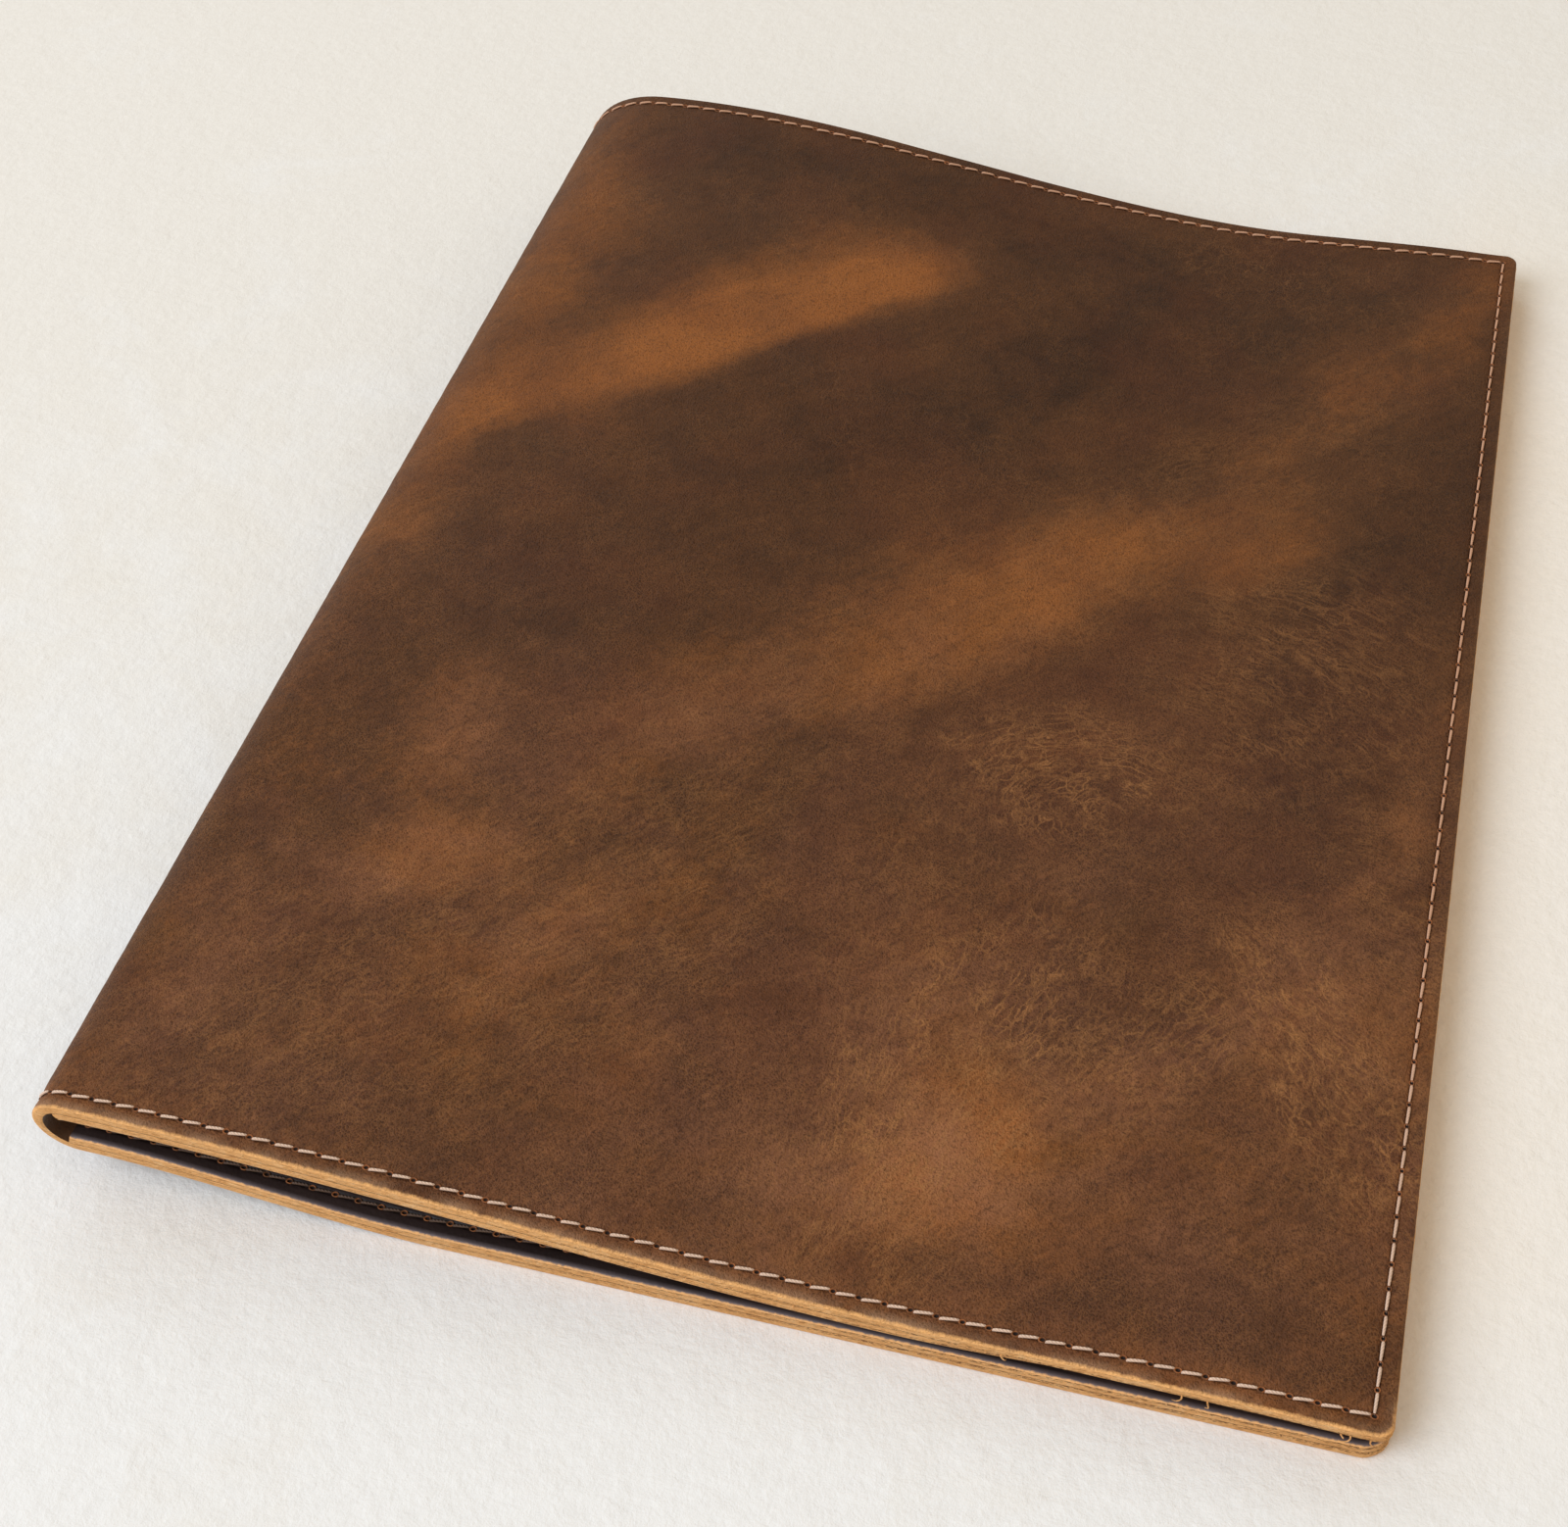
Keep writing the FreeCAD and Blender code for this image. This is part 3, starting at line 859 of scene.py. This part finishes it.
def waxed_leather(colours):
    """Waxed pull-up hide: its tone follows the piece, with mottling, creases, scratches and fine grain."""
    n = Nodes("waxed_pull_up_leather")
    place = n.place()
    mottle = n.noise(place, 0.05, 5, 0.62, 0.6)
    fine = n.noise(place, 0.30, 6, 0.7, 0.3)
    brushed = n.noise(n.place((0.055, 0.30, 0.2), 0.80), 1.0, 6, 0.62, 1.2)
    tone = n.plus(n.attribute("tone"), n.span(mottle, 0.25, 0.75, -0.11, 0.11))
    tone = n.plus(tone, n.span(fine, 0.25, 0.75, -0.09, 0.09))
    tone = n.plus(tone, n.span(n.noise(place, 0.11, 3, 0.6, 1.0), 0.25, 0.75, -0.07, 0.07))
    lower = n.span(n.along(place, 1), 30.0, -60.0)
    pebbles = n.noise(n.place((0.42, 0.95, 0.6), 0.85), 1.0, 4, 0.65, 0.4)
    swing = n.maths("MULTIPLY_ADD", lower, 0.085, 0.03)
    tone = n.maths("MULTIPLY_ADD", n.span(pebbles, 0.3, 0.7, -1.0, 1.0), swing, tone)
    swing = n.maths("MULTIPLY_ADD", n.attribute("tone"), 0.10, 0.04)
    tone = n.maths("MULTIPLY_ADD", n.span(brushed, 0.25, 0.75, -1.0, 1.0), swing, tone)
    base = n.ramp(tone, [(0.0, colours.dark), (0.38, colours.brown), (1.0, colours.tan)])
    rosy = n.ramp(tone, [(0.0, colours.plum), (0.38, colours.russet), (1.0, colours.rose)])
    veil = n.times(lower, n.span(n.noise(place, 0.03, 4, 0.6, 0.5), 0.36, 0.60))
    base = n.mix(veil, base, rosy)
    blush = n.noise(place, 0.035, 3, 0.5, 0.3)
    base = n.mix(n.span(blush, 0.45, 0.70, 0.0, 0.35), base, tinted(colours.brown, 1.0, 0.78, 0.95))
    # Fine creases: nets of long narrow cells drawn out along the creases' own direction
    flow = n.shaken(n.attribute("flow", "Vector"), place, 0.10, 2, (5, 5, 5))
    flow = n.shaken(flow, place, 0.45, 2, (0.9, 0.9, 0.9))
    ridges = 0.0
    for across, along, width, weight in ((0.34, 0.045, 0.075, 1.0), (0.80, 0.13, 0.14, 0.7)):
        cells = n.voronoi(n.vector("MULTIPLY", flow, (across, along, 1.0)), 1.0)
        ridges = n.larger(ridges, n.span(cells, 0.0, width, weight, 0.0))
    lines = n.times(ridges, n.attribute("flow_mask"))
    breaks = n.span(n.noise(place, 0.16, 4, 0.65), 0.36, 0.60)
    lines = n.times(lines, breaks)
    # Wandering crackle and a few long hair scratches
    bent = n.shaken(place, place, 0.14, 3, (9, 9, 3))
    cells = n.voronoi(bent, 0.24)
    small_cells = n.voronoi(bent, 0.75)
    crackle = n.span(cells, 0.0, 0.035, 0.8, 0.0)
    crackle = n.larger(crackle, n.span(small_cells, 0.0, 0.09, 0.5, 0.0))
    where = n.span(n.noise(place, 0.024, 2, 0.5, 0.4), 0.47, 0.66)
    crackle = n.times(n.times(crackle, where), breaks)
    lines = n.larger(lines, n.times(crackle, 0.35))
    pale = tinted(colours.tan, 1.15, 1.5, 2.3)
    base = n.mix(n.times(lines, 0.85), base, pale)
    # Fine grain: small cells, pale along their edges and dark in their valleys. The pale lines are partly the
    # grain's own colour and partly painted glints on the pebbles, stronger towards the near end.
    grain = n.voronoi(n.shaken(place, place, 1.0, 2, (1, 1, 1)), 1.7)
    valley = n.span(grain, 0.0, 0.16, 1.0, 0.0)
    patchy = n.span(n.noise(place, 0.09, 4, 0.65), 0.36, 0.64, 0.12, 0.9)
    speck = n.noise(place, 1.7, 3, 0.7)
    grain_lines_and_glints = n.times(patchy, n.maths("MULTIPLY_ADD", lower, 0.16, 0.18))
    base = n.mix(n.times(valley, grain_lines_and_glints), base, pale)
    base = n.mix(n.span(speck, 0.50, 0.70, 0.0, 0.55), base, tinted(colours.dark, 0.62))
    # The worn edge shows raw hide through. The strip outside the seam is paler, partly from wear and partly
    # as a painted highlight on the edge's round; both are full along the near edge and faint elsewhere.
    edge = n.attribute("edge_distance")
    rough_edge = n.noise(place, 0.7, 5, 0.75)
    near_edge = n.span(n.along(place, 1), -146.0, -141.0, 1.0, 0.05)
    worn = n.plus(edge, n.span(rough_edge, 0.3, 0.7, -0.22, 0.22))
    # Partly wear, partly painted highlight: a pale tan strip just inside the edge.
    wear_and_painted_highlight = n.times(n.span(edge, 0.3, 1.9, 0.55, 0.0), n.span(n.noise(place, 0.09, 3, 0.6), 0.38, 0.62))
    base = n.mix(n.times(wear_and_painted_highlight, near_edge), base, (0.48, 0.29, 0.17))
    base = n.mix(n.times(n.span(worn, 0.0, 0.55, 1.0, 0.0), near_edge), base, colours.raw)
    roughness = n.span(mottle, 0.2, 0.8, 0.52, 0.68)
    normal = n.bump(lines, -0.5, 0.14)
    normal = n.bump(n.plus(grain, n.times(speck, 0.7)), 1.0, 0.36, normal)
    normal = n.bump(pebbles, 0.5, 0.32, normal)
    normal = n.bump(n.noise(place, 0.16, 3, 0.5), 0.30, 0.6, normal)
    return n.surface(base, roughness, normal, Specular_IOR_Level=0.165)


def raw_hide(colours):
    """Cut edge of tanned hide: streaked along the edge, darker specks where two hides meet, torn fibres."""
    n = Nodes("raw_hide_edge")
    raw = colours.raw
    streaks = n.noise(n.place((0.6, 0.6, 2.6)), 1.0, 5, 0.78, 0.8)
    cloud = n.noise(n.place(), 0.13, 3, 0.6)
    base = n.ramp(
        n.plus(n.times(streaks, 0.8), n.times(cloud, 0.25)),
        [
            (0.32, tinted(raw, 0.50, 0.36, 0.24)),
            (0.52, raw),
            (0.70, tinted(raw, 1.08, 1.35, 1.9)),
        ],
    )
    joint = n.attribute("joint")
    torn = n.noise(n.place((0.55, 0.55, 2.2)), 1.5, 5, 0.8, 1.0)
    right = n.span(n.along(n.place(), 0), -90.0, 60.0, 0.15, 1.0)
    seam = n.times(n.span(joint, 0.50, 0.80), n.span(torn, 0.48, 0.56))
    seam = n.times(seam, right)
    flecks = n.times(n.span(torn, 0.57, 0.67), 0.5)
    base = n.mix(n.larger(seam, flecks), base, (0.12, 0.042, 0.015))
    normal = n.bump(streaks, 0.9, 0.3)
    normal = n.bump(torn, 0.9, 0.35, normal)
    return n.surface(base, 0.85, normal, Specular_IOR_Level=0.2)


def flesh_side(colours):
    """Suede side of the hide: brown, napped and matt."""
    n = Nodes("suede_flesh_side")
    nap = n.noise(n.place(), 1.1, 6, 0.75, 1.2)
    base = n.ramp(nap, [(0.3, tinted(colours.flesh, 0.5)), (0.7, colours.flesh)])
    return n.surface(base, 0.95, n.bump(nap, 0.8, 0.3), Specular_IOR_Level=0.15, Sheen_Weight=0.3)


def lining_leather(colours):
    """Smooth dark leather of the inner panels, with a fine grain and a cool sheen painted as a lavender-grey
    band along its cut edges.
    """
    n = Nodes("dark_lining_leather")
    place = n.place()
    cloud = n.noise(place, 0.05, 4, 0.6, 0.4)
    base = n.ramp(cloud, [(0.3, tinted(colours.lining, 0.75)), (0.75, tinted(colours.lining, 1.7))])
    grain = n.voronoi(place, 1.7, "SMOOTH_F1")
    edge = n.attribute("edge_distance")
    worn = n.plus(edge, n.span(n.noise(place, 1.0, 4, 0.7), 0.3, 0.7, -0.12, 0.12))
    # Painted sheen: a lavender-grey band along the cut edge, where light reaches in from outside.
    base = n.mix(n.span(edge, 0.3, 1.1, 0.8, 0.0), base, (0.15, 0.115, 0.12))
    base = n.mix(n.span(worn, 0.02, 0.26, 0.9, 0.0), base, colours.raw)
    normal = n.bump(grain, 0.5, 0.12)
    rough = n.span(cloud, 0.2, 0.8, 0.42, 0.56)
    return n.surface(base, rough, normal, Specular_IOR_Level=0.3)


def sewing_thread(colours):
    """The pale thread of the outside seams."""
    return laid_thread("waxed_thread", colours.thread)


def inner_sewing_thread(colours):
    """The dark thread of the inside seams."""
    return laid_thread("dark_waxed_thread", colours.inner_thread)


def laid_thread(name, shade):
    """Waxed thread: two strands laid together, so diagonal shadow lines wind along each stitch."""
    n = Nodes(name)
    # Darker and browner from the near seam towards the far end.
    far_darkening = n.span(n.along(n.place(), 1), -142.0, -50.0, 0.0, 0.72)
    turns = n.times(n.attribute("along"), 7.0)
    wound = n.plus(turns, n.times(n.attribute("around"), 2.0))
    strand = n.maths("SINE", n.times(wound, 2 * math.pi))
    tint = n.noise(n.place(), 0.5, 3)
    base = n.ramp(tint, [(0.3, tinted(shade, 0.85)), (0.7, shade)])
    base = n.mix(n.span(strand, -1.0, -0.2, 0.45, 0.0), base, tinted(shade, 0.45))
    base = n.mix(far_darkening, base, tinted(shade, 0.66, 0.44, 0.30))
    return n.surface(base, 0.6, n.bump(strand, 0.5, 0.08), Specular_IOR_Level=0.3)


def punched_hole(colours):
    """A pit painted near-black inside as shade, with a tan lip."""
    n = Nodes("punched_hole")
    ring = n.attribute("from_centre")
    lip = n.span(n.noise(n.place(), 0.9, 3), 0.36, 0.58)
    lip_tan = n.mix(lip, colours.brown, (0.36, 0.12, 0.035))
    # Painted shade: the pit's inside is near-black; the lip round it is tan.
    base = n.mix(n.span(ring, 0.27, 0.36), (0.016, 0.007, 0.005), lip_tan)
    base = n.mix(n.span(ring, 0.45, 0.56), base, colours.brown)
    return n.surface(base, 0.7, n.bump(n.noise(n.place(), 3.0), 0.2, 0.05), Specular_IOR_Level=0.3)


def paper_floor(colours):
    """Pale paper with a cloudy, slightly napped tooth."""
    n = Nodes("pale_paper")
    coordinates = n.add("ShaderNodeTexCoord").outputs["Object"]
    cloud = n.noise(coordinates, 22.0, 7, 0.7, 0.5)
    tooth = n.noise(coordinates, 420.0, 4, 0.75)
    warm = tinted(colours.floor, 0.965, 0.935, 0.885)
    x, y = n.along(coordinates, 0), n.along(coordinates, 1)
    far_left = n.span(n.maths("SUBTRACT", y, n.times(x, 0.5)), -0.20, 0.22, -0.22, 0.22)
    base = n.ramp(n.maths("SUBTRACT", cloud, far_left), [(0.34, warm), (0.66, colours.floor)])
    # Painted warm shade and bounce light: the strip of floor next to the opening is tinted warm, as if lit by
    # light thrown back from the leather.
    painted_bounce_and_shade = n.times(n.span(x, 0.108, 0.175, 0.85, 0.0), n.span(x, 0.09, 0.108))
    painted_bounce_and_shade = n.times(painted_bounce_and_shade, n.times(n.span(y, -0.165, -0.11), n.span(y, 0.20, 0.10)))
    base = n.mix(painted_bounce_and_shade, base, tinted(colours.floor, 1.03, 0.93, 0.80))
    base = n.mix(n.span(tooth, 0.3, 0.7, 0.10, 0.0), base, (0.4, 0.38, 0.37))
    normal = n.bump(tooth, 0.5, 0.5, n.bump(n.noise(coordinates, 90.0, 5, 0.65), 0.4, 1.6))
    return n.surface(base, 0.9, normal, Specular_IOR_Level=0.15)


def read_colours():
    """The colours of the scene's settings, as plain tuples."""
    group = bpy.context.scene.mat_colours
    return SimpleNamespace(**{name: tuple(getattr(group, name)) for name in MatColours.__annotations__})


def dressed(piece, *materials):
    """The piece, once it has been given its materials in their order."""
    for material in materials:
        piece.data.materials.append(material)
    return piece


SHARED = {}


def shared(make):
    """The material that make builds, made once."""
    if make not in SHARED:
        SHARED[make] = make(read_colours())
    return SHARED[make]


# ---------------------------------------------------------------- the crease joint, read but not applied


def crease_blend(piece, side):
    """Bakes a cover's piece's placement into its mesh. It reads the crease's joint from the frame and works
    out its axis, step and pivot, but uses none of them, so the piece is not bent.
    """
    joint = next(j for j in frame["joints"] if j["name"] == CREASE_OF[side])
    sizes = sizes_in_mm()
    near = -sizes.half_length
    places = [hide_point(sizes, side, s, near, sizes.ply / 2) for s in (CLIMB_END, FOLD_MIDDLE)]
    near_start, near_end = (np.array([float(v) for v in p]) for p in places)
    along = np.array(joint["axis"])
    along = along / np.linalg.norm(along)
    step = near_end - near_start
    step = step - along * (step @ along)
    pivot = np.array(joint["pos_m"]) / MM
    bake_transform(piece)


# ---------------------------------------------------------------- operators


class DESKMAT_OT_covers(bpy.types.Operator):
    """Builds the outer hide: back cover and front cover, which meet in the middle of the fold"""

    bl_idname = "deskmat.covers"
    bl_label = "Outer covers"

    def execute(self, context):
        sizes = sizes_in_mm()
        for side, nodes in (("back", ("cover_back",)), ("front", ("cover_front", "cover_fold"))):
            piece = hide_piece(f"cover_{side}_hide", sizes, side, 0.0, 1.0)
            dressed(piece, shared(waxed_leather), shared(raw_hide), shared(flesh_side))
            crease_blend(piece, side)
            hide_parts(*nodes)
        return {"FINISHED"}


class DESKMAT_OT_panels(bpy.types.Operator):
    """Builds the two inner panels"""

    bl_idname = "deskmat.panels"
    bl_label = "Inner panels"

    def execute(self, context):
        sizes = sizes_in_mm()

        def front_set_back(station):
            """How far the front panel's near edge lies inside the cover's: it grows towards the free edge."""
            x = hide_point(sizes, "front", station, -sizes.half_length, sizes.ply)[0]
            return 2.1 * smoothstep((x - 28) / 76)

        for side in ("back", "front"):
            piece = hide_piece(
                f"inner_panel_{side}_hide",
                sizes,
                side,
                sizes.ply + sizes.glue,
                sizes.panel_tuck,
                front_set_back if side == "front" else None,
            )
            dressed(piece, shared(lining_leather), shared(raw_hide), shared(flesh_side))
            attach(piece, side)
            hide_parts(f"inner_panel_{side}")
        return {"FINISHED"}


class DESKMAT_OT_seams(bpy.types.Operator):
    """Builds the stitches and the punched holes, outside and inside"""

    bl_idname = "deskmat.seams"
    bl_label = "Seams"

    def execute(self, context):
        sizes = sizes_in_mm()
        lining = 2 * sizes.ply + sizes.glue
        faces = (
            ("outside", FOLD_MIDDLE - 0.02, 0.0, 1, sewing_thread, "cover_leather"),
            ("inside", CLIMB_END, lining, -1, inner_sewing_thread, "panel_leather"),
        )
        for side in ("back", "front"):
            for face, last_station, depth, outwards, thread, leather in faces:
                seam = (sizes, side, last_station, depth, outwards)
                stitches = stitch_piece(f"stitches_{face}_{side}", *seam)
                spare = (f"thread_{face}_fold",) if side == "front" else ()
                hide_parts(f"thread_{face}_{side}", *spare)
                holes = hole_piece(f"holes_{face}_{side}", *seam)
                for piece, make, slot in ((stitches, thread, "seam_thread"), (holes, punched_hole, leather)):
                    dressed(piece, shared(make))
                    if face == "outside":
                        crease_blend(piece, side)
                    else:
                        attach(piece, side)
        return {"FINISHED"}


class DESKMAT_OT_fibres(bpy.types.Operator):
    """Builds the loose fibres that hang from the front cover's cut edge"""

    bl_idname = "deskmat.fibres"
    bl_label = "Loose fibres"

    def execute(self, context):
        piece = dressed(fibre_piece("loose_fibres", sizes_in_mm()), shared(raw_hide))
        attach(piece, "front")
        return {"FINISHED"}


class DESKMAT_OT_stage(bpy.types.Operator):
    """Lays the floor and sets the lights and the camera"""

    bl_idname = "deskmat.stage"
    bl_label = "Stage"

    def execute(self, context):
        scene = context.scene
        stage = scene.mat_stage
        half = FLOOR_HALF_M / MM
        corners = np.array([(-half, -half, 0), (half, -half, 0), (half, half, 0), (-half, half, 0)], float)
        floor = new_mesh("floor", corners, np.array([[0, 1, 2, 3]]))
        dressed(floor, shared(paper_floor))
        floor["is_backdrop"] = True
        lamps = (
            ("window", (-1.8, -1.65, 2.25), 2.6, 84.0, (0.74, 0.855, 1.0)),
            ("bounce", (-1.6, 2.2, 1.5), 1.8, 14.0, (0.735, 0.85, 1.0)),
        )
        for name, place, width, power, tint in lamps:
            light = bpy.data.lights.new(name, "AREA")
            light.shape, light.size, light.energy, light.color = "DISK", width, power, tint
            lamp = bpy.data.objects.new(name, light)
            lamp.location = place
            lamp.rotation_euler = (-lamp.location).to_track_quat("-Z", "Y").to_euler()
            scene.collection.objects.link(lamp)
        world = bpy.data.worlds.new("soft_room")
        world.use_nodes = True
        background = world.node_tree.nodes["Background"]
        background.inputs["Color"].default_value = (1.0, 0.89, 0.72, 1)
        background.inputs["Strength"].default_value = 0.62
        scene.world = world
        scene.view_settings.view_transform = "Standard"
        camera = bpy.data.cameras.new("camera")
        camera.lens, camera.sensor_width = stage.lens, SENSOR_MM
        camera.clip_start, camera.clip_end = 0.01, 20.0
        holder = bpy.data.objects.new("camera", camera)
        holder.location = stage.camera_place
        holder.rotation_euler = stage.camera_turn
        scene.collection.objects.link(holder)
        scene.camera = holder
        return {"FINISHED"}


class DESKMAT_PT_panel(bpy.types.Panel):
    """Lists the steps that build the desk mat"""

    bl_idname = "DESKMAT_PT_panel"
    bl_label = "Desk mat"
    bl_space_type = "VIEW_3D"
    bl_region_type = "UI"
    bl_category = "Desk mat"

    def draw(self, context):
        for operator in OPERATORS:
            self.layout.operator(operator.bl_idname)
        for group in GROUPS:
            settings = getattr(context.scene, group)
            box = self.layout.box()
            for name in settings.__annotations__:
                box.prop(settings, name)


OPERATORS = (
    DESKMAT_OT_covers,
    DESKMAT_OT_panels,
    DESKMAT_OT_seams,
    DESKMAT_OT_fibres,
    DESKMAT_OT_stage,
)


def register():
    for group in (*GROUPS.values(), *OPERATORS, DESKMAT_PT_panel):
        bpy.utils.register_class(group)
    for name, group in GROUPS.items():
        setattr(bpy.types.Scene, name, bpy.props.PointerProperty(type=group))


def unregister():
    for name in GROUPS:
        delattr(bpy.types.Scene, name)
    for group in (DESKMAT_PT_panel, *OPERATORS[::-1], *GROUPS.values()):
        bpy.utils.unregister_class(group)


def main():
    register()
    for operator in OPERATORS:
        group, name = operator.bl_idname.split(".")
        getattr(getattr(bpy.ops, group), name)()


if __name__ == "__main__":
    main()
